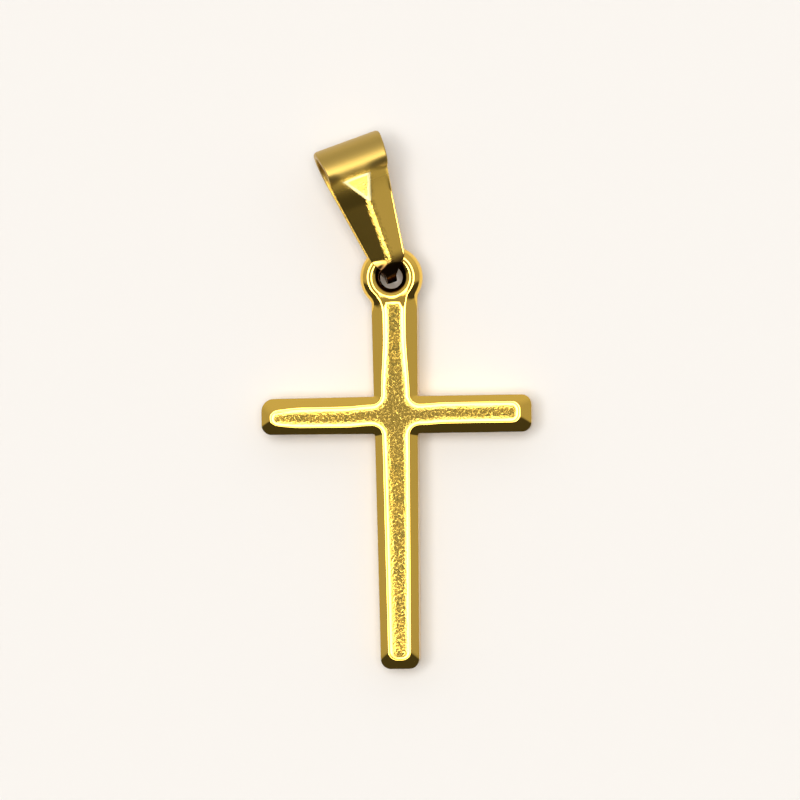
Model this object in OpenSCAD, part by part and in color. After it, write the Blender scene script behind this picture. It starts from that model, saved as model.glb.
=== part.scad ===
/* [Cross] */
// Length of the cross from its foot to the top of its eye
cross_l = 25; // [23:0.5:30]
// Span of the arms from tip to tip
cross_span = 16; // [14:0.5:20]
// Height of the arms' middle line above the foot
crossing_h = 15; // [13.5:0.5:16]
// Thickness of the body from its flat back to the rim of its face
body_t = 2.05; // [1.9:0.05:2.3]
// Depth of the face's hollow below its rim
face_dish = 0.06; // [0.02:0.02:0.12]
// Width of the upper stem under the eye
neck_w = 2.7; // [2.4:0.05:2.8]
// Width of the upper stem at the crossing
upper_w = 2.6; // [2.4:0.1:2.9]
// Width of the lower stem at the crossing
stem_w = 2.54; // [2.2:0.1:2.8]
// Width of the lower stem at the foot
foot_w = 2.26; // [2:0.04:2.8]
// Width of the arms at the crossing
arm_w = 2.2; // [1.9:0.05:2.6]
// Width of the left arm's tip
left_tip_w = 2.12; // [1.9:0.04:2.6]
// Width of the right arm's tip
right_tip_w = 2.2; // [1.9:0.05:2.6]

/* [Rim and edges] */
// Width of the face from rim to rim where the stem crosses the arms
stem_face_w = 1.5; // [1.2:0.05:1.7]
// Width of the face from rim to rim at the foot
foot_face_w = 1.32; // [1:0.04:1.6]
// Width of the face from rim to rim under the eye
neck_face_w = 1.2; // [1:0.05:1.5]
// Width of the face from rim to rim along the arms
arm_face_w = 1.1; // [0.9:0.05:1.4]
// Distance from the foot's end to the face's rim, seen from above
foot_slope = 0.72; // [0.5:0.04:1]
// Distance from the left tip to the face's rim, seen from above
left_slope = 0.56; // [0.4:0.04:1]
// Distance from the right tip to the face's rim, seen from above
right_slope = 0.74; // [0.4:0.04:1]
// Height over which the flank rounds up to the rim
edge_r = 0.5; // [0.3:0.05:0.7]
// Rounding of the edge between the back and the flanks
back_r = 0.25; // [0.15:0.05:0.4]
// Corner radius of the foot's and the tips' outline
tip_r = 0.6; // [0.3:0.05:0.8]
// Radius of the four inner corners at the outline
inner_r = 0.14; // [0.08:0.02:0.4]
// Radius of the four inner corners at the rim
inner_face_r = 1; // [0.6:0.1:1.4]

/* [Eye] */
// Thickness of the wire-like ring that makes the eye
eye_wire_t = 1.2; // [1.1:0.02:1.24]
// Radius of the eye's hole
eye_hole_r = 0.66; // [0.64:0.01:0.8]
// Shift of the eye to the left of the stem's middle line
eye_shift = 0.16; // [0:0.02:0.2]
// Radius of the neck between the stem's flanks and the eye
neck_r = 0.5; // [0.3:0.05:0.8]
// Radius of the neck at the rim
neck_face_r = 1.5; // [0.8:0.1:2.5]

/* [Bail] */
// Thickness of the bail's sheet
strap_t = 0.4; // [0.35:0.01:0.45]
// Distance from the middle of the bail's round seat to the middle of the fold
bail_l = 5.8; // [4.8:0.25:7.3]
// Clear height inside the fold, where a chain goes through
chain_gap = 2.5; // [2.2:0.1:3]
// Width of the bail at its fold
bail_top_w = 4.2; // [3.4:0.05:4.8]
// Width of the bail where its shoulders end
bail_end_w = 2; // [1.6:0.1:2.3]
// Distance of the shoulders from the middle of the round seat, towards the fold
shoulder_up = 0.1; // [0:0.05:0.5]
// Corner radius of the fold's ends
fold_corner_r = 0.3; // [0.2:0.05:0.5]
// Corner radius of the shoulders
shoulder_r = 0.25; // [0.1:0.05:0.4]
// Width of the two tongues that close inside the eye
tongue_w = 0.62; // [0.5:0.02:0.7]
// Shift of the tongues to the left of the bail's middle line
tongue_shift = 0.26; // [0.2:0.01:0.35]
// Distance below the middle of the round seat at which the tongues have their own width
tongue_start = 0.75; // [0.7:0.01:0.85]
// How far each leg wraps round the wire before its tongue runs straight
tongue_wrap = 50; // [40:1:55]
// Gap between the two tongues' ends
seam_gap = 0.1; // [0.06:0.02:0.16]

/* [How the bail lies] */
// Clearance between the bail and the eye's wire
bail_clear = 0.12; // [0.08:0.01:0.16]
// Play by which the bail lies slid towards the eye's centre
bail_play = 0.2; // [0.1:0.05:0.3]
// Distance of the bail's middle line to the right of the eye's centre
bail_side = 0.22; // [0.1:0.02:0.3]
// Turn of the bail to the left, seen from above
bail_turn = 19.8; // [0:0.1:30]
// Roll of the bail on to its right edge
bail_roll = 10; // [4:0.5:11]
// Height of the bail's right edge above the surface
rest_gap = 0.02; // [0.01:0.01:0.1]

/* [Hidden] */
$fn = 64;

// Steps in each rounded corner of an outline, and in each rounded edge of the section
corner_steps = 7;
edge_steps = 6;
back_steps = 2;
fold_steps = 28;
wrap_steps = 8;
// Turn of the flank's rounding at its foot, from the face's own direction
edge_turn = 75;
// Share of the way from the outline to the rim that the flank leans before it rounds
flank_share = 0.07;
// Largest share of a limb's half width that its end's corners take
round_share = 0.94;
// Depth to which the neck's edges end inside the eye's wire
neck_sink = 0.02;
// Distance before the eye at which the middle of the neck's closing faces starts
neck_lead = 0.35;

// The eye's wire runs round this circle, and its centre lies a little left of the stem's axis
eye_wire_r = eye_wire_t / 2;
crown_r = eye_hole_r + eye_wire_r;
eye_r = crown_r + eye_wire_r;
eye_y = cross_l - crossing_h - eye_r;

// The inside of the bail wraps the wire with its clearance and the lean that its roll gives
seat_r = eye_wire_r + bail_clear + bail_end_w / 2 * sin(bail_roll);
fold_r = chain_gap / 2;
bail_taper = asin((fold_r - seat_r) / bail_l);
fold_top = bail_l + fold_r + strap_t;
bail_pitch = bail_taper
    + atan((bail_top_w - bail_end_w) / 2 * sin(bail_roll) / (fold_top - shoulder_up));
seat_up = sqrt(crown_r * crown_r - bail_side * bail_side) - bail_play;
bail_x = -eye_shift + bail_side * cos(bail_turn) - seat_up * sin(bail_turn);
bail_y = eye_y + bail_side * sin(bail_turn) + seat_up * cos(bail_turn);
eye_z = rest_gap + (seat_r + strap_t) * cos(bail_roll) + bail_end_w / 2 * sin(bail_roll);

// Highest point of the fold's right corner, which ends the part's length
top_x = (bail_top_w / 2 - fold_corner_r) * cos(bail_roll)
    + (fold_top - fold_corner_r) * sin(bail_pitch) * sin(bail_roll);
top_y = bail_y + top_x * sin(bail_turn)
    + (fold_top - fold_corner_r) * cos(bail_pitch) * cos(bail_turn) + fold_corner_r;
middle_y = (top_y - crossing_h) / 2;

// The cross's four limbs: direction, reach of the outline and of the rim,
// half width of the outline at the crossing and at the end, and half width of the rim there
LIMBS = [
    [0, cross_span / 2, cross_span / 2 - right_slope,
        arm_w / 2, right_tip_w / 2, arm_face_w / 2, arm_face_w / 2],
    [90, eye_y - eye_r, eye_y - eye_r,
        upper_w / 2, neck_w / 2, stem_face_w / 2, neck_face_w / 2],
    [180, cross_span / 2, cross_span / 2 - left_slope,
        arm_w / 2, left_tip_w / 2, arm_face_w / 2, arm_face_w / 2],
    [270, crossing_h, crossing_h - foot_slope,
        stem_w / 2, foot_w / 2, stem_face_w / 2, foot_face_w / 2],
];
// The upper stem ends in the eye, with one more outline point at the middle of its end
NECK = 1;
limb_points = 3 * (corner_steps + 1);
ring_points = len(LIMBS) * limb_points + 1;

// Levels of the section: height above the back, and slope from 0 at the outline to 1 at the rim
back_slope = back_r / (stem_w / 2 - stem_face_w / 2);
LEVELS = concat(
    [for (i = [0 : back_steps])
        let (a = 90 * i / back_steps) [back_r * (1 - cos(a)), back_slope * (1 - sin(a))]],
    [for (i = [0 : edge_steps])
        let (a = edge_turn * (1 - i / edge_steps))
        [body_t - edge_r * (1 - cos(a)), 1 - (1 - flank_share) * sin(a) / sin(edge_turn)]]
);

function mix(a, b, t) = a + (b - a) * t;
function unit(v) = v / norm(v);
function along(angle) = [cos(angle), sin(angle)];
function turned(v, angle) = [v.x * cos(angle) - v.y * sin(angle), v.x * sin(angle) + v.y * cos(angle)];
function direction(v) = atan2(v.y, v.x);

// Arc of radius r that rounds the corner b between its neighbours a and c
function rounded(a, b, c, r, steps) =
    let (
        u = unit(a - b),
        v = unit(c - b),
        half = acos(u * v) / 2,
        centre = b + unit(u + v) * r / sin(half),
        start = b + u * r / tan(half) - centre,
        turn = sign(cross(b - a, c - b)) * (180 - 2 * half)
    )
    [for (i = [0 : steps]) centre + turned(start, turn * i / steps)];

// Corner of the limb's end on one side, with side 1 to the left of its direction and -1 to the right
function limb_end(i, side, slope) =
    let (limb = LIMBS[i])
    along(limb[0]) * mix(limb[1], limb[2], slope)
        + along(limb[0] + 90) * side * mix(limb[4], limb[6], slope);

// Inner corner between a limb and the next one round
function inner_corner(i, slope) =
    let (limb = LIMBS[i], next = LIMBS[(i + 1) % len(LIMBS)])
    along(limb[0]) * mix(next[3], next[5], slope) + along(limb[0] + 90) * mix(limb[3], limb[5], slope);

// Radius of the eye's outside at a height, as widest below the middle of its wire
function eye_outside(height) =
    let (up = max(0, min(eye_wire_r, height - eye_z)))
    crown_r + sqrt(eye_wire_r * eye_wire_r - up * up);

// Where the neck's end meets the stem's middle line: under the wire at the back, inside it above
function neck_middle(height) = [-eye_shift, eye_y - (height < eye_z ? eye_r : crown_r)];

// Arc from the neck's flank out to the eye's outside, with side 1 on the right and -1 on the left;
// each point has its height, which ends just inside the wire
function neck_arc(side, slope, height) =
    let (
        reach = eye_outside(height) - neck_sink,
        w = mix(LIMBS[NECK][4], LIMBS[NECK][6], slope),
        r = mix(neck_r, neck_face_r, slope),
        across = w + r + side * eye_shift,
        centre = [side * (w + r), eye_y - sqrt((reach + r) * (reach + r) - across * across)],
        start = direction([-side, 0]),
        turn = direction(turned([-eye_shift, eye_y] - centre, -start)),
        sunk = min(height, eye_z + eye_wire_r - neck_sink)
    )
    [for (i = [0 : corner_steps])
        concat(
            centre + r * along(start + turn * i / corner_steps),
            mix(height, sunk, i / corner_steps)
        )];

function backwards(points) = [for (i = [len(points) - 1 : -1 : 0]) points[i]];
function lifted(points, height) = [for (p = points) concat(p, height)];

// Closed outline of the cross at one level, counterclockwise from the right arm's lower corner
function outline(level) = [
    for (i = [0 : len(LIMBS) - 1])
        let (
            height = level[0],
            slope = level[1],
            before = inner_corner((i + len(LIMBS) - 1) % len(LIMBS), slope),
            right = limb_end(i, -1, slope),
            left = limb_end(i, 1, slope),
            after = inner_corner(i, slope),
            onward = limb_end((i + 1) % len(LIMBS), -1, slope),
            end_r = min(tip_r, mix(LIMBS[i][4], LIMBS[i][6], slope) * round_share),
            inner = rounded(left, after, onward, mix(inner_r, inner_face_r, slope), corner_steps)
        )
        each i == NECK
            ? concat(
                neck_arc(1, slope, height),
                [concat(neck_middle(height), height < eye_z ? height : height - face_dish)],
                backwards(neck_arc(-1, slope, height)),
                lifted(inner, height)
            )
            : concat(
                lifted(rounded(before, right, left, end_r, corner_steps), height),
                lifted(rounded(right, left, after, end_r, corner_steps), height),
                lifted(inner, height)
            )
];

// Points down the middle of a closing face: the crossing, each limb's root and end, and the neck's rows
function spine(level, drop) =
    let (
        slope = level[1],
        height = level[0] - drop,
        meet = neck_middle(level[0])
    )
    concat(
        [[0, 0, height]],
        [for (i = [0 : len(LIMBS) - 1])
            let (
                limb = LIMBS[i],
                root = mix(inner_r, inner_face_r, slope) + limb[3],
                end = mix(limb[1], limb[2], slope) - mix(limb[4], limb[6], slope),
                tip = i == NECK ? meet.y - neck_lead : end
            )
            each [concat(along(limb[0]) * root, height), concat(along(limb[0]) * tip, height)]],
        [for (i = [1 : corner_steps - 1])
            [meet.x * i / corner_steps, meet.y - neck_lead * (1 - i / corner_steps), height]]
    );

// Index of a limb's first outline point
function limb_start(i) = i * limb_points + (i > NECK ? 1 : 0);

// Triangles that close an outline over its spine, seen clockwise from above
function closing(first, middle) = [
    for (i = [0 : len(LIMBS) - 1])
        let (
            start = first + limb_start(i),
            corner = first + limb_start(i + 1) - corner_steps - 1,
            last = corner - 1,
            before = first + (limb_start(i) + ring_points - 1) % ring_points,
            root = middle + 1 + 2 * i,
            tip = root + 1,
            rows = middle + 2 * len(LIMBS)
        )
        each concat(
            [[middle, root, before], [root, start, before], [root, tip, start]],
            i == NECK
                ? [for (j = [0 : corner_steps - 1])
                    let (
                        low = j == 0 ? tip : rows + j,
                        high = j == corner_steps - 1 ? start + corner_steps + 1 : rows + j + 1
                    )
                    each [
                        [low, high, start + j + 1],
                        [low, start + j + 1, start + j],
                        [low, last - j - 1, high],
                        [low, last - j, last - j - 1]
                    ]]
                : [for (j = [start : last - 1]) [tip, j + 1, j]],
            [[root, last, tip], [root, corner, last], [middle, corner, root]],
            [for (j = [corner : corner + corner_steps - 1]) [middle, j + 1, j]]
        )
];

function reversed(face) = [face[0], face[2], face[1]];

// The cross's body is one closed skin: a flat back, flanks, rounded edges and a slightly hollow face
module body() {
    top = len(LEVELS) - 1;
    back_middle = len(LEVELS) * ring_points;
    back_spine = spine(LEVELS[0], 0);
    points = concat(
        [for (level = LEVELS) each outline(level)],
        back_spine,
        spine(LEVELS[top], face_dish)
    );
    flanks = [
        for (j = [0 : top - 1], i = [0 : ring_points - 1])
            let (
                a = j * ring_points + i,
                b = j * ring_points + (i + 1) % ring_points
            )
            each [[a, a + ring_points, b + ring_points], [a, b + ring_points, b]]
    ];
    back = [for (face = closing(0, back_middle)) reversed(face)];
    face = closing(top * ring_points, back_middle + len(back_spine));
    polyhedron(points, concat(flanks, back, face));
}

// The eye is a ring of round wire whose hole looks the same way as the cross's face
module eye() {
    translate([-eye_shift, eye_y, eye_z])
        rotate_extrude()
            translate([crown_r, 0])
                circle(r = eye_wire_r);
}

module cross_piece() {
    color("gold") translate([0, -middle_y, 0]) {
        body();
        eye();
    }
}

// Inside of the strap from one tongue's end, round the fold, to the other's:
// each point with the direction in which the sheet's thickness goes
function strap_path() =
    let (
        wrapped = 90 + bail_taper + tongue_wrap,
        end = seat_r * along(wrapped),
        tip = end + along(wrapped + 90) * (end.y - seam_gap / 2) / -sin(wrapped + 90),
        wrap = [for (i = [0 : wrap_steps]) wrapped - tongue_wrap * i / wrap_steps],
        fold = [for (i = [0 : fold_steps]) (90 + bail_taper) * (1 - 2 * i / fold_steps)]
    )
    concat(
        [[tip, along(wrapped)]],
        [for (a = wrap) [seat_r * along(a), along(a)]],
        [for (a = fold) [[bail_l, 0] + fold_r * along(a), along(a)]],
        [for (i = [wrap_steps : -1 : 0]) [seat_r * along(-wrap[i]), along(-wrap[i])]],
        [[[tip.x, -tip.y], along(-wrapped)]]
    );

// The strap seen from its side, with the fold along +Y and the front up
module strap_side() {
    path = strap_path();
    inside = [for (p = path) p[0]];
    outside = [for (i = [len(path) - 1 : -1 : 0]) path[i][0] + strap_t * path[i][1]];
    rotate([90, 0, 90])
        linear_extrude(height = 2 * bail_top_w, center = true)
            polygon(concat(inside, outside));
}

// The strap seen from its front: tapered legs, shoulders and narrow tongues
module strap_front() {
    tongue_end = seat_r + strap_t + eye_hole_r;
    CORNERS = [
        [bail_top_w / 2, fold_top, fold_corner_r],
        [-bail_top_w / 2, fold_top, fold_corner_r],
        [-bail_end_w / 2, shoulder_up, shoulder_r],
        [-tongue_shift - tongue_w / 2, -tongue_start, 0],
        [-tongue_shift - tongue_w / 2, -tongue_end, 0],
        [-tongue_shift + tongue_w / 2, -tongue_end, 0],
        [-tongue_shift + tongue_w / 2, -tongue_start, 0],
        [bail_end_w / 2, shoulder_up, shoulder_r],
    ];
    count = len(CORNERS);
    function corner(i) = [CORNERS[(i + count) % count].x, CORNERS[(i + count) % count].y];
    linear_extrude(height = 2 * (chain_gap + 2 * strap_t), center = true)
        polygon([
            for (i = [0 : count - 1])
                each CORNERS[i][2] > 0
                    ? rounded(corner(i - 1), corner(i), corner(i + 1), CORNERS[i][2], corner_steps)
                    : [corner(i)]
        ]);
}

// The bail is one strap of sheet, folded over at the top and closed through the eye
module bail() {
    color("darkgoldenrod")
        translate([bail_x, bail_y - middle_y, eye_z])
            rotate([0, 0, bail_turn])
                rotate([0, bail_roll, 0])
                    rotate([bail_pitch, 0, 0])
                        intersection() {
                            strap_side();
                            strap_front();
                        }
}

cross_piece();  // cross
bail();
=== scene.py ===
from math import asin, atan2, ceil, cos, hypot, pi, radians, sin, sqrt

import bmesh
import bpy
from mathutils import Matrix, Vector


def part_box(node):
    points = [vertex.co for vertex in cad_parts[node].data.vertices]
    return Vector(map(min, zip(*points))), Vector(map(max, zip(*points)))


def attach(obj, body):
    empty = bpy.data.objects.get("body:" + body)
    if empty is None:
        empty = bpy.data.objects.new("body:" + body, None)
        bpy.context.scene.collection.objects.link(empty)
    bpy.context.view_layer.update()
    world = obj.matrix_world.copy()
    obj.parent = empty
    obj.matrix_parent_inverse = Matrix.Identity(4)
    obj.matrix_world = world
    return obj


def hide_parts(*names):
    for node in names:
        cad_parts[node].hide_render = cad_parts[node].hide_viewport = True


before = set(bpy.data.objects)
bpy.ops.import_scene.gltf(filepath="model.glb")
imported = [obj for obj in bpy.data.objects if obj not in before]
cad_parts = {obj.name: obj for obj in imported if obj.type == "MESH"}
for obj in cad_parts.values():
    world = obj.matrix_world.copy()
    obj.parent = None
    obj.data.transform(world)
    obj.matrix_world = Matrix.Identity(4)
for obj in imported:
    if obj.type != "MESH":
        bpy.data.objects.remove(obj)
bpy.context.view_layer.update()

# The cross. One casting of gold-coloured metal with its eye ring: straight limbs with a flat back, near-vertical
# flanks, and a face that lies slightly hollow and pitted between two polished rims. The rims run on round the eye.
# Sizes here are in millimetres, and the finished mesh is brought to metres.
mm = 0.001
cross_low, cross_high = (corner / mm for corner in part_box("cross"))
stem_reach, eye_r, eye_hole_r, eye_shift = 15, 1.86, 0.66, -0.16
wire_r = (eye_r - eye_hole_r) / 2
crossing = Vector((0, cross_low.y + stem_reach, 0))
eye_middle = Vector((eye_shift, cross_high.y - eye_r, 0))
eye_height = cross_high.z - wire_r
body_t = 2.05

# Half widths of the limbs at the crossing and at their ends, and the radii of their corners. The corners are drawn
# wider than they are, so that the insets don't run into each other, and are pushed back to their own radius later.
upper_half, stem_half, foot_half = 1.3, 1.27, 1.13
arm_half, left_tip_half, right_tip_half = 1.1, 1.06, 1.1
arm_reach = cross_high.x
tip_r, worn_tip_r, inner_r = 0.58, 0.74, 0.14
drawn_tip_r = 1.0

casting = bmesh.new()
push = casting.verts.layers.float_vector.new("push")
level = casting.verts.layers.float.new("level")
sunk = casting.verts.layers.float.new("sunk")
rim_line = casting.verts.layers.float.new("rim_line")
# Marks the eye's hole, where shade is painted.
shade_in_eye = casting.verts.layers.float.new("shade_in_eye")


def ring(radius, steps=64):
    """A circle round the eye's middle, its points sorted from -180 to 180 degrees."""
    made = bmesh.ops.create_circle(casting, segments=steps, radius=radius)["verts"]
    made.sort(key=lambda v: atan2(v.co.y, v.co.x))
    bmesh.ops.translate(casting, verts=made, vec=eye_middle)
    return made


outer_circle = ring(eye_r)
hole_circle = ring(eye_hole_r)
bmesh.ops.bridge_loops(casting, edges=casting.edges[:])

# The neck meets the eye between these two directions, and the eye's rim goes on between them
neck_right, neck_left, angle_slack = radians(-33.75), radians(-129.375), 1e-4
eye_rim_r = 1.42


def around_eye(v):
    return atan2(v.co.y - eye_middle.y, v.co.x - eye_middle.x)


# Under the eye the neck has a shoulder on each side, and the face between them has a straight end. The points
# inside that end are packed at its middle, because an inset folds over a short edge beside a corner.
neck_line = [v for v in outer_circle if neck_left - angle_slack < around_eye(v) < neck_right + angle_slack]
neck_side, neck_top = 1.345, 6.25
for v, side in ((neck_line[0], -1), (neck_line[-1], 1)):
    v.co = crossing + Vector((side * neck_side, neck_top, 0))
face_left, face_right, face_top = -0.6, 0.52, 6.74
packed_from, packed_over = 0.4, 0.2
face_end = neck_line[1:-1]
last = len(face_end) - 1
shares = [0] + [packed_from + packed_over * place / last for place in range(1, last)] + [1]
for v, share in zip(face_end, shares):
    v.co = crossing + Vector((face_left + (face_right - face_left) * share, face_top, 0))

corners = {
    "right low": (arm_reach, -right_tip_half, tip_r),
    "right high": (arm_reach, right_tip_half, tip_r),
    "upper right": (upper_half, arm_half, inner_r),
    "upper left": (-upper_half, arm_half, inner_r),
    "left high": (-arm_reach, left_tip_half, worn_tip_r),
    "left low": (-arm_reach, -left_tip_half, tip_r),
    "lower left": (-stem_half, -arm_half, inner_r),
    "foot left": (-foot_half, -stem_reach, tip_r),
    "foot right": (foot_half, -stem_reach, tip_r),
    "lower right": (stem_half, -arm_half, inner_r),
}
corner = {name: casting.verts.new(crossing + Vector((x, y, 0))) for name, (x, y, r) in corners.items()}
before_neck = 3
names = list(corners)
around = [corner[n] for n in names[:before_neck]] + neck_line[::-1] + [corner[n] for n in names[before_neck:]]
casting.faces.new(around)
for name, (x, y, r) in corners.items():
    middle = corner[name].co.copy()
    drawn_r = drawn_tip_r if r > inner_r else r
    bmesh.ops.bevel(
        casting, geom=[corner[name]], offset=drawn_r, offset_type="OFFSET",
        segments=8, profile=0.5, affect="VERTICES", material=-1,
    )
    inward = Vector((-1 if x > 0 else 1, -1 if y > 0 else 1, 0))
    for v in casting.verts:
        if drawn_r != r and (v.co - middle).length < drawn_r * 1.01:
            way = (v.co - middle - inward * drawn_r) / drawn_r
            v[push] = middle + (inward + way) * r - v.co
longest = 0.2
for edge in [e for e in casting.edges if e.is_boundary and e.calc_length() > longest]:
    bmesh.ops.subdivide_edges(casting, edges=[edge], cuts=ceil(edge.calc_length() / longest) - 1)

for v in casting.verts:
    clear_of_hole = (v.co.xy - eye_middle.xy).length > eye_rim_r
    v[rim_line] = v.is_boundary and clear_of_hole and v.co.y > crossing.y + arm_half

# The plan is drawn up to the flanks' top, and the back is left at its foot
back_faces = list(casting.faces)
raised = bmesh.ops.extrude_face_region(casting, geom=back_faces, use_keep_orig=True)["geom"]
top_faces = [f for f in raised if isinstance(f, bmesh.types.BMFace)]


def verts_of(faces):
    return {v for f in faces for v in f.verts}


for v in verts_of(top_faces):
    v.co.z = body_t

# Both sides are inset in fine steps, which get their heights once all of them are made
edge_r, edge_rise, crest_power = 0.5, 0.3, 1.3
back_r = 0.25
edge_steps = 12
for faces in (back_faces, top_faces):
    before = 0
    for step in range(1, edge_steps + 1):
        run = edge_r * (1 - cos(step / edge_steps * pi / 2))
        bmesh.ops.inset_region(
            casting, faces=faces, thickness=run - before, depth=0,
            use_boundary=True, use_even_offset=True,
        )
        for v in verts_of(faces):
            v[level] = run
        before = run

# The face sinks behind its rim, by an inset and a depth at a time
face = [max(top_faces, key=lambda f: f.calc_area())]
dish = (
    (0.05, 0.0005), (0.05, 0.007), (0.06, 0.0165), (0.05, 0.0215), (0.05, 0.025), (0.05, 0.0282), (0.05, 0.031),
    (0.05, 0.0328), (0.05, 0.0333),
)
for thickness, depth in dish:
    bmesh.ops.inset_region(
        casting, faces=face, thickness=thickness, depth=0, use_boundary=True, use_even_offset=True,
    )
    for v in verts_of(face):
        v[sunk] = depth
face_depth = dish[-1][1]
bmesh.ops.triangulate(casting, faces=face, quad_method="BEAUTY", ngon_method="BEAUTY")
bmesh.ops.recalc_face_normals(casting, faces=casting.faces)

neck_blend = 0.7


def eased(low, high, at):
    """0 at low, 1 at high, and smooth between them."""
    t = min(max((at - low) / (high - low), 0), 1)
    return t * t * (3 - 2 * t)


def ringness(v):
    """1 on the eye, falling to 0 a little way down the neck."""
    return 1 - eased(eye_r, eye_r + neck_blend, (v.co.xy - eye_middle.xy).length)


def arc_rise(radius, run):
    """Height gained by a round edge over a horizontal run."""
    return radius * sqrt(1 - max(1 - run / radius, 0) ** 2)


def rim_rise(run):
    """Height gained up the rim's slope, which is nearly straight and rounds off at its crest."""
    return edge_rise * (1 - max(1 - run / edge_r, 0) ** crest_power)


def top_height(v, run):
    limb = body_t - edge_rise + rim_rise(run)
    wire = eye_height + arc_rise(wire_r, run)
    return limb + (wire - limb) * ringness(v)


def back_height(v, run):
    limb = back_r - arc_rise(back_r, run)
    wire = eye_height - arc_rise(wire_r, run)
    return limb + (wire - limb) * ringness(v)


# The outline keeps small corners and the rim wide ones. The rims draw together under the eye.
neck_half, neck_crest_half, root_crest_half = 1.35, 0.59, 0.8
neck_fillet_r, crest_fillet_r = 0.5, 1.5
neck_root_l, narrow_from, narrow_to = 1, 1.2, 4.8
eye_up = (eye_middle - crossing).y


def ring_reach(side, y, radius):
    """Distance from the stem's axis out to a circle round the eye's middle."""
    return side * eye_middle.x + sqrt(max(radius * radius - (y - eye_up) ** 2, 0))


def neck_reach(side, y, half, fillet_r, radius):
    """Distance from the stem's axis to a line that runs up the neck and flows into a circle round the eye."""
    across = half + fillet_r - side * eye_middle.x
    fillet_y = eye_up - sqrt((radius + fillet_r) ** 2 - across * across)
    touch_y = fillet_y + (eye_up - fillet_y) * fillet_r / (radius + fillet_r)
    if y > touch_y:
        return ring_reach(side, y, radius)
    return half + fillet_r - sqrt(fillet_r ** 2 - max(y - fillet_y, 0) ** 2)


# Each arm's rim lies a little off its middle, and the rims slope further at the tips. The left tip is worn narrow,
# and the face of the lower stem lies a little to the right.
right_arm_shift, left_arm_shift, arm_root, arm_clear = 0.08, -0.1, 1.5, 3
foot_slope, left_slope, right_slope, slope_from, slope_to = 0.03, 0.07, 0.2, 2.5, 0.5
worn_tip_draw, worn_from, worn_to = 0.25, 2.4, 0.4
face_skew, skew_l = 0.08, 2
arm_zone = 2
# Painted shade in the eye's hole fades out between these distances from the hole's edge.
eye_shade_from, eye_shade_to = 0.2, 0.36
for v in casting.verts:
    share = v[level] / edge_r
    x, y = (v.co - crossing).xy
    on_top = v.co.z > body_t / 2
    v.co.z = top_height(v, v[level]) - v[sunk] if on_top else back_height(v, v[level])
    from_eye = (v.co.xy - eye_middle.xy).length
    v[shade_in_eye] = 1 - eased(eye_hole_r + eye_shade_from, eye_hole_r + eye_shade_to, from_eye)
    v.co += v[push] * (1 - share)
    if arm_half < y < eye_up:
        side = 1 if x > 0 else -1
        up_neck = eased(arm_half, arm_half + neck_root_l, y)
        half = upper_half + (neck_half - upper_half) * (y - arm_half) / (eye_up - eye_r - arm_half)
        narrow = eased(narrow_from, narrow_to, y)
        crest_half = root_crest_half + (neck_crest_half - root_crest_half) * narrow if on_top else half - edge_r
        wanted_half = half + (crest_half - half) * share * up_neck - v[level] * (1 - up_neck)
        fillet_r = neck_fillet_r + (crest_fillet_r - neck_fillet_r) * share * on_top
        reach = neck_reach(side, y, wanted_half, fillet_r, eye_r - v[level])
        if v[sunk] > 0:
            v.co.x *= reach / (half - edge_r)
        elif v[rim_line] > 0.5:
            v.co.x = side * reach
    if on_top:
        if abs(y) < arm_zone:
            arm_shift = right_arm_shift if x > 0 else left_arm_shift
            v.co.y += arm_shift * share * eased(arm_root, arm_clear, abs(x))
        v.co.y += foot_slope * share * eased(-stem_reach + slope_from, -stem_reach + slope_to, y)
        v.co.y -= y * worn_tip_draw * share * eased(-arm_reach + worn_from, -arm_reach + worn_to, x)
        v.co.x += face_skew * v[sunk] / face_depth * eased(-arm_half, -arm_half - skew_l, y)
        v.co.x -= right_slope * share * eased(arm_reach - slope_from, arm_reach - slope_to, x)
        v.co.x += left_slope * share * eased(-arm_reach + slope_from, -arm_reach + slope_to, x)

# The rim's slope meets the flank in a crease
crease = radians(35)
for edge in casting.edges:
    edge.smooth = edge.calc_face_angle(0) < crease

bmesh.ops.scale(casting, verts=casting.verts, vec=(mm, mm, mm))
cross_mesh = bpy.data.meshes.new("cross_casting")
casting.to_mesh(cross_mesh)
casting.free()
cross_piece = bpy.data.objects.new("cross_casting", cross_mesh)
bpy.context.scene.collection.objects.link(cross_piece)
cross_mesh.shade_smooth()

# Cast metal keeps the fine pits of its mould where it isn't polished. The same group gives the bail its worn specks.
# Size is the number of pits in a millimetre.
pits = bpy.data.node_groups.new("pits", "ShaderNodeTree")
for name, direction in (("Size", "INPUT"), ("Where", "INPUT"), ("Height", "OUTPUT"), ("Pit", "OUTPUT")):
    pits.interface.new_socket(name, in_out=direction, socket_type="NodeSocketFloat")


def node(tree, kind, settings=(), **inputs):
    """A node with its settings and its inputs. An underscore stands for a space, or goes before a number."""
    made = tree.nodes.new(kind)
    for key, value in settings:
        setattr(made, key, value)
    for key, value in inputs.items():
        socket = made.inputs[int(key[1:])] if key[0] == "_" else made.inputs[key.replace("_", " ")]
        if isinstance(value, bpy.types.NodeSocket):
            tree.links.new(value, socket)
        else:
            socket.default_value = value
    return made


def span(tree, value, low, high, to_low=0.0, to_high=1.0):
    """Value brought from low..high to its new span, held at both ends."""
    return node(
        tree, "ShaderNodeMapRange", (("interpolation_type", "SMOOTHSTEP"),), Value=value,
        From_Min=low, From_Max=high, To_Min=to_low, To_Max=to_high,
    ).outputs["Result"]


def maths(tree, operation, *values):
    return node(
        tree, "ShaderNodeMath", (("operation", operation),), **{f"_{i}": v for i, v in enumerate(values)}
    ).outputs[0]


def product(tree, first, *others):
    for other in others:
        first = maths(tree, "MULTIPLY", first, other)
    return first


def mixed(tree, share, colour, other):
    """Colour, and the other colour where share is 1."""
    return node(tree, "ShaderNodeMix", (("data_type", "RGBA"),), _0=share, _6=colour, _7=other).outputs[2]


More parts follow.
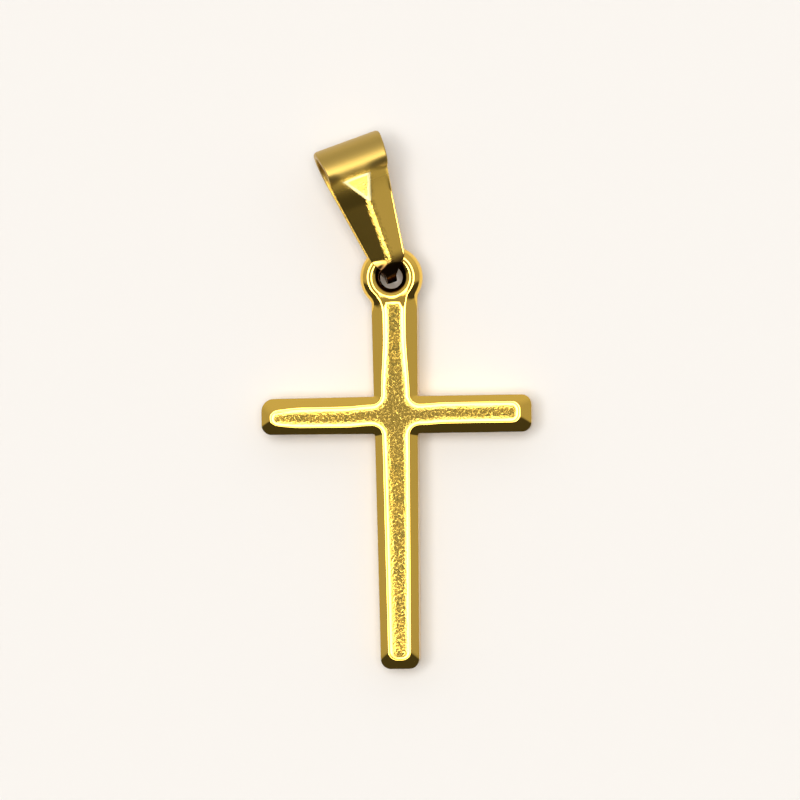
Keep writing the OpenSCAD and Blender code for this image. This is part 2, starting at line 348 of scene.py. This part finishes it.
def painted(tree, attribute):
    return node(tree, "ShaderNodeAttribute", (("attribute_name", attribute),)).outputs["Fac"]


fine_part, coarse_part, coarse_to_fine = 0.6, 0.4, 0.3
pit_rim, pit_floor, mid_height = 0.53, 0.42, 0.5
group_in = node(pits, "NodeGroupInput")
group_out = node(pits, "NodeGroupOutput")
where_on = node(pits, "ShaderNodeTexCoord").outputs["Object"]
in_mm = node(pits, "ShaderNodeVectorMath", (("operation", "SCALE"),), _0=where_on, Scale=1 / mm).outputs[0]
fine = node(
    pits, "ShaderNodeTexNoise", Vector=in_mm, Scale=group_in.outputs["Size"], Detail=4.0, Roughness=0.5,
    Distortion=0.6,
).outputs["Fac"]
coarse_size = maths(pits, "MULTIPLY", group_in.outputs["Size"], coarse_to_fine)
coarse = node(pits, "ShaderNodeTexNoise", Vector=in_mm, Scale=coarse_size, Detail=2.0).outputs["Fac"]
both = maths(pits, "ADD", product(pits, fine, fine_part), product(pits, coarse, coarse_part))
pit = span(pits, both, pit_rim, pit_floor)
about_zero = maths(pits, "SUBTRACT", both, mid_height)
pits.links.new(product(pits, about_zero, group_in.outputs["Where"]), group_out.inputs["Height"])
pits.links.new(product(pits, pit, group_in.outputs["Where"]), group_out.inputs["Pit"])

# The rim is polished and the face is pitted, with painted shade in its pits. The face is painted darker round the
# crossing, and painted shade darkens the eye's hole.
# The second colour is painted shade in the pits.
polished, shaded_pit_gold, darker_face_gold, eye_shade = (
    (0.94, 0.605, 0.105, 1), (0.6, 0.43, 0.085, 1), (0.74, 0.5, 0.1, 1), (0.2, 0.09, 0.03, 1))
face_from, face_to = 0.017, 0.029
darker_face_middle, darker_face_out_r, darker_face_in_r = crossing + Vector((0.9, 0.2, body_t)), 4.2, 0.8
polished_rough, pitted_rough, face_grain, pit_depth = 0.08, 0.1, 6.0, 0.016
cast_gold = bpy.data.materials.new("cast_gold")
cast_gold.use_nodes = True
gold = cast_gold.node_tree
shader = gold.nodes["Principled BSDF"]
shader.inputs["Metallic"].default_value = 1
face_part = span(gold, painted(gold, "sunk"), face_from, face_to)
grain = node(gold, "ShaderNodeGroup", (("node_tree", pits),), Size=face_grain, Where=face_part)
# Painted shade: the pits get a darker gold.
colour = mixed(gold, grain.outputs["Pit"], polished, shaded_pit_gold)
gold_place = node(gold, "ShaderNodeTexCoord").outputs["Object"]
# The face is painted a darker gold round the crossing.
from_middle = node(
    gold, "ShaderNodeVectorMath", (("operation", "DISTANCE"),), _0=gold_place, _1=darker_face_middle * mm,
).outputs["Value"]
darker_face = product(gold, span(gold, from_middle, darker_face_out_r * mm, darker_face_in_r * mm), face_part)
colour = mixed(gold, darker_face, colour, darker_face_gold)
# Painted shade darkens the eye's hole.
colour = mixed(gold, painted(gold, "shade_in_eye"), colour, eye_shade)
gold.links.new(colour, shader.inputs["Base Color"])
gold.links.new(span(gold, face_part, 0, 1, polished_rough, pitted_rough), shader.inputs["Roughness"])
bump = node(gold, "ShaderNodeBump", Height=grain.outputs["Height"], Strength=1.0, Distance=pit_depth * mm)
gold.links.new(bump.outputs["Normal"], shader.inputs["Normal"])
cross_mesh.materials.append(cast_gold)
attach(cross_piece, "root")
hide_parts("cross")

# The bail. One strap of sheet, folded over at the top, its legs brought together through the eye in two tongues.
# The fold is satin, and the front leg is dressed to a ridge and polished.
strap_t, bail_l = 0.4, 5.8
seat_r, fold_r = 0.8936, 1.25
taper = asin((fold_r - seat_r) / bail_l)
top_half, end_half = 2.1, 1.0
shoulder_up, fold_top = 0.1, bail_l + fold_r + strap_t
tongue_half, tongue_shift, tongue_start, tongue_wrap = 0.31, -0.26, -0.75, radians(50)
seam_gap, fold_corner_r = 0.1, 0.3

# The strap starts as a row of points across its front tongue's end, and is drawn out and bent to its path
strap = bmesh.new()
up_strap = strap.verts.layers.float.new("up_strap")
ridge = strap.verts.layers.float.new("ridge")
across = strap.verts.layers.float.new("across")
front = strap.verts.layers.float.new("front")
columns = 26
row = [strap.verts.new((place / columns * 2 - 1, 0, 0)) for place in range(columns + 1)]
ends = [strap.edges.new(pair) for pair in zip(row, row[1:])]
wrapped = pi / 2 + taper + tongue_wrap
wrap_end = Vector((0, cos(wrapped), sin(wrapped))) * seat_r
tongue_way = Vector((0, -sin(wrapped), cos(wrapped)))
tongue_l = (wrap_end.z - seam_gap / 2) / -tongue_way.z
bmesh.ops.translate(strap, verts=row, vec=wrap_end + tongue_way * tongue_l)


def drawn_on(edges, vec, steps):
    """Draws the row of edges on by a vector, in steps, and gives the last row."""
    for _ in range(steps):
        made = bmesh.ops.extrude_edge_only(strap, edges=edges)["geom"]
        moved = [g for g in made if isinstance(g, bmesh.types.BMVert)]
        bmesh.ops.translate(strap, verts=moved, vec=vec / steps)
        edges = [g for g in made if isinstance(g, bmesh.types.BMEdge)]
        edges = [e for e in edges if all(v in made for v in e.verts)]
    return edges


def bent_on(edges, centre, turn, steps):
    """Bends the row of edges on about a line across the strap, and gives the last row."""
    made = bmesh.ops.spin(
        strap, geom=edges, cent=centre, axis=(1, 0, 0), angle=turn, steps=steps, use_merge=False,
        use_duplicate=False,
    )["geom_last"]
    return [g for g in made if isinstance(g, bmesh.types.BMEdge)]


eye_line = Vector((0, 0, 0))
fold_line = Vector((0, bail_l, 0))
lean = pi / 2 + taper
leg_start = Vector((0, cos(lean), sin(lean))) * seat_r
leg_end = fold_line + Vector((0, cos(lean), sin(lean))) * fold_r
front_leg = leg_end - leg_start
back_leg = Vector((0, -front_leg.y, front_leg.z))
ends = drawn_on(ends, -tongue_way * tongue_l, 3)
ends = bent_on(ends, eye_line, -tongue_wrap, 7)
ends = drawn_on(ends, front_leg, 28)
ends = bent_on(ends, fold_line, -2 * lean, 24)
ends = drawn_on(ends, back_leg, 14)
ends = bent_on(ends, eye_line, -tongue_wrap, 7)
ends = drawn_on(ends, Vector((0, tongue_way.y, -tongue_way.z)) * tongue_l, 3)

# It is cut to taper down its legs, with shoulders and a narrow tongue, and its front is pressed to a ridge that
# opens into a small flat triangle under the fold. A soft lip stands up along its right edge.
edge_margin, outermost, middle_packing = 0.08, 0.99, 1.7
flat_left, flat_right, flat_top, flat_foot = 1.05, 0.5, 5.35, 3.8
left_ridge_slope, right_ridge_slope, ridge_round, ridge_drop, ridge_w = 0.36, 0.3, 0.015, 0.1, 0.25
press_start, press_full, press_out = -0.8, 0.2, 0.1
lip_w = 0.34
for v in strap.verts:
    x, y, z = v.co
    half = end_half + (top_half - end_half) * max(y - shoulder_up, 0) / (fold_top - shoulder_up)
    to_tongue = 1 - eased(tongue_start, shoulder_up, y)
    low = -half + (tongue_shift - tongue_half + half) * to_tongue
    high = half + (tongue_shift + tongue_half - half) * to_tongue
    if abs(x) > outermost:
        v.co.x = low if x < 0 else high
    else:
        inner_share = abs(x * columns / (columns - 2)) ** middle_packing
        inner_share = (1 + (inner_share if x > 0 else -inner_share)) / 2
        v.co.x = low + edge_margin + (high - low - 2 * edge_margin) * inner_share
    v[up_strap], v[across], v[front] = y, v.co.x, z > 0
    if z > 0:
        under_fold = 1 - eased(flat_top, bail_l + press_out, y)
        pressed = eased(press_start, press_full, y) * under_fold
        opened = min(max((y - flat_foot) / (flat_top - flat_foot), 0), 1)
        beyond = max(abs(v.co.x) - (flat_left if v.co.x < 0 else flat_right) * opened, 0)
        lip = max(v.co.x - half + lip_w, 0)
        slope = left_ridge_slope if v.co.x < 0 else right_ridge_slope
        v.co.z -= ridge_drop * under_fold
        v.co.z -= pressed * slope * (hypot(beyond, ridge_round) - ridge_round - lip * lip / lip_w)
        v[ridge] = eased(ridge_w, 0, beyond) * pressed
bmesh.ops.recalc_face_normals(strap, faces=strap.faces)
bmesh.ops.reverse_faces(strap, faces=strap.faces)
bmesh.ops.solidify(strap, geom=strap.faces[:], thickness=strap_t)
corner_y = fold_top - fold_corner_r
for v in strap.verts:
    if v.co.y > corner_y:
        limit = end_half + (top_half - end_half) * (v.co.y - shoulder_up) / (fold_top - shoulder_up)
        limit -= fold_corner_r - sqrt(max(fold_corner_r ** 2 - (v.co.y - corner_y) ** 2, 0))
        v.co.x = min(max(v.co.x, -limit), limit)

# It lies turned to the left, rolled on to its right edge and pitched up towards the fold
bail_turn, bail_roll, bail_pitch = radians(19.8), radians(10), radians(5.011)
bail_place = Vector((-0.3055, 8.2600, 1.4590))
placed = (
    Matrix.Scale(mm, 4) @ Matrix.Translation(bail_place) @ Matrix.Rotation(bail_turn, 4, "Z")
    @ Matrix.Rotation(bail_roll, 4, "Y") @ Matrix.Rotation(bail_pitch, 4, "X")
)
bmesh.ops.transform(strap, matrix=placed, verts=strap.verts)
strap_mesh = bpy.data.meshes.new("bail_strap")
strap.to_mesh(strap_mesh)
strap.free()
bail_piece = bpy.data.objects.new("bail_strap", strap_mesh)
bpy.context.scene.collection.objects.link(bail_piece)
strap_mesh.shade_smooth()
smoothing = bail_piece.modifiers.new("smoothing", "SUBSURF")
smoothing.levels = smoothing.render_levels = 2

# Its legs are polished, with worn specks along the ridge and a painted highlight round the triangle, where the metal
# is also rougher.
# The fold is duller, with painted shade on it, and painted shade darkens the tongues. The places are millimetres up
# the strap and in from the triangle's edge.
# The third colour is a painted highlight, and the fourth and last are painted shade.
bright_gold, speck_gold, triangle_highlight_gold, fold_shade_gold, tongue_shade = (
    (0.92, 0.6, 0.11, 1), (0.6, 0.38, 0.07, 1), (0.96, 0.84, 0.42, 1), (0.53, 0.36, 0.09, 1), (0.07, 0.035, 0.012, 1))
speck_size, speck_depth = 9.0, 0.03
triangle_outline_outside, triangle_outline_inside, triangle_outline_rough, flat_end = (-0.1, 0.0), (0.13, 0.05), 0.5, flat_top - 0.1
fold_span, tongue_shade_span, satin_span = (5.4, 5.8), (0.5, -0.3), (3.8, 5.7, 0.08, 0.42)
sheet_gold = bpy.data.materials.new("sheet_gold")
sheet_gold.use_nodes = True
sheet = sheet_gold.node_tree
shader = sheet.nodes["Principled BSDF"]
shader.inputs["Metallic"].default_value = 1
along, sideways_on = painted(sheet, "up_strap"), painted(sheet, "across")
specks = node(sheet, "ShaderNodeGroup", (("node_tree", pits),), Size=speck_size, Where=painted(sheet, "ridge"))
strap_colour = mixed(sheet, specks.outputs["Pit"], bright_gold, speck_gold)
opened = maths(sheet, "DIVIDE", maths(sheet, "SUBTRACT", along, flat_foot), flat_top - flat_foot)
inside_left = maths(sheet, "ADD", product(sheet, opened, flat_left), sideways_on)
inside_right = maths(sheet, "SUBTRACT", product(sheet, opened, flat_right), sideways_on)
below_end = maths(sheet, "SUBTRACT", flat_end, along)
inside = maths(sheet, "MINIMUM", maths(sheet, "MINIMUM", inside_left, inside_right), below_end)
# A painted highlight round the triangle, where the metal is also rougher.
triangle_outline = product(
    sheet, span(sheet, inside, *triangle_outline_outside), span(sheet, inside, *triangle_outline_inside), painted(sheet, "front"))
strap_colour = mixed(sheet, triangle_outline, strap_colour, triangle_highlight_gold)
# Painted shade on the fold; its roughness is the satin finish.
strap_colour = mixed(sheet, span(sheet, along, *fold_span), strap_colour, fold_shade_gold)
# Painted shade darkens the tongues in the eye.
strap_colour = mixed(sheet, span(sheet, along, *tongue_shade_span), strap_colour, tongue_shade)
sheet.links.new(strap_colour, shader.inputs["Base Color"])
rough = maths(sheet, "MAXIMUM", span(sheet, along, *satin_span), product(sheet, triangle_outline, triangle_outline_rough))
sheet.links.new(rough, shader.inputs["Roughness"])
bump = node(sheet, "ShaderNodeBump", Height=specks.outputs["Height"], Strength=1.0, Distance=speck_depth * mm)
sheet.links.new(bump.outputs["Normal"], shader.inputs["Normal"])
strap_mesh.materials.append(sheet_gold)
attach(bail_piece, "root")
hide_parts("bail")

# The surface that the pendant lies on: plain white card.
bpy.ops.mesh.primitive_plane_add(size=2)
table = bpy.context.object
table.name = "table"
card = bpy.data.materials.new("white_card")
card.use_nodes = True
card.node_tree.nodes["Principled BSDF"].inputs["Base Color"].default_value = (0.835, 0.811, 0.79, 1)
card.node_tree.nodes["Principled BSDF"].inputs["Roughness"].default_value = 0.9
table.data.materials.append(card)

# Light. A light tent, open towards the foot of the pendant: bright overhead round the lens, a bright strip on each
# side, and dim walls. Angles are in degrees, from the gap that the lens looks through or from the brightest spot.
lens_lean = radians(4.5)
lens_way = Vector((sin(lens_lean), 0, cos(lens_lean)))
gap_way = Vector((-sin(lens_lean), 0, cos(lens_lean)))
top_way = Vector((-0.06, 0.05, 1)).normalized()
overhead_inner, overhead_outer, overhead_light = (6, 14), (23, 18), 8.0
strip_inner, strip_outer, strip_side, strip_light = (9, 12), (26, 22), (0.86, 0.94), 9.0
foot_wall, head_wall, wall_at_gap = (-0.2, -0.07, 0.06, 0.47), (0.1, 0.6, 0.0, 0.15), (6, 11, 0.7, 1.0)
tent_white = (1.0, 0.985, 0.955, 1)
world = bpy.data.worlds.new("tent")
bpy.context.scene.world = world
world.use_nodes = True
tent = world.node_tree
way = node(tent, "ShaderNodeTexCoord").outputs["Generated"]


def degrees_from(direction):
    near = node(tent, "ShaderNodeVectorMath", (("operation", "DOT_PRODUCT"),), _0=way, _1=direction).outputs["Value"]
    return maths(tent, "DEGREES", maths(tent, "ARCCOSINE", maths(tent, "MINIMUM", near, 1.0)))


gap_angle, top_angle = degrees_from(gap_way), degrees_from(top_way)
east, north, high = node(tent, "ShaderNodeSeparateXYZ", _0=way).outputs
above_zero = 1.00001
level_part = maths(tent, "SQRT", maths(tent, "SUBTRACT", above_zero, maths(tent, "MULTIPLY", high, high)))
sideways = maths(tent, "DIVIDE", maths(tent, "ABSOLUTE", east), level_part)
overhead = product(
    tent, span(tent, gap_angle, *overhead_inner), span(tent, top_angle, *overhead_outer), overhead_light)
strips = product(
    tent, span(tent, gap_angle, *strip_inner), span(tent, gap_angle, *strip_outer),
    span(tent, sideways, *strip_side), strip_light)
walls = maths(tent, "ADD", span(tent, north, *foot_wall), span(tent, north, *head_wall))
walls = product(tent, walls, span(tent, gap_angle, *wall_at_gap))
strength = maths(tent, "MAXIMUM", maths(tent, "MAXIMUM", overhead, strips), walls)
tent.links.new(strength, tent.nodes["Background"].inputs["Strength"])
tent.nodes["Background"].inputs["Color"].default_value = tent_white

# Camera. Nearly straight above, leaning a little to the right arm's side, as the photograph was taken.
lens_mm, sensor_mm, frame_px = 150, 36, 800
px_per_mm = 16.87
camera_turn = radians(0.95)
aim = (crossing + Vector((0.19, 0.88, 1))) * mm
distance = frame_px / px_per_mm * mm * lens_mm / sensor_mm
camera = bpy.data.objects.new("camera", bpy.data.cameras.new("camera"))
bpy.context.scene.collection.objects.link(camera)
camera.data.lens, camera.data.sensor_width = lens_mm, sensor_mm
camera.data.clip_start, camera.data.clip_end = 0.01, 5
up = Vector((sin(camera_turn), cos(camera_turn), 0))
right = up.cross(lens_way).normalized()
up = lens_way.cross(right)
turned = Matrix((right, up, lens_way)).transposed().to_4x4()
camera.matrix_world = Matrix.Translation(aim + lens_way * distance) @ turned
bpy.context.scene.camera = camera
bpy.context.scene.view_settings.view_transform = "Standard"
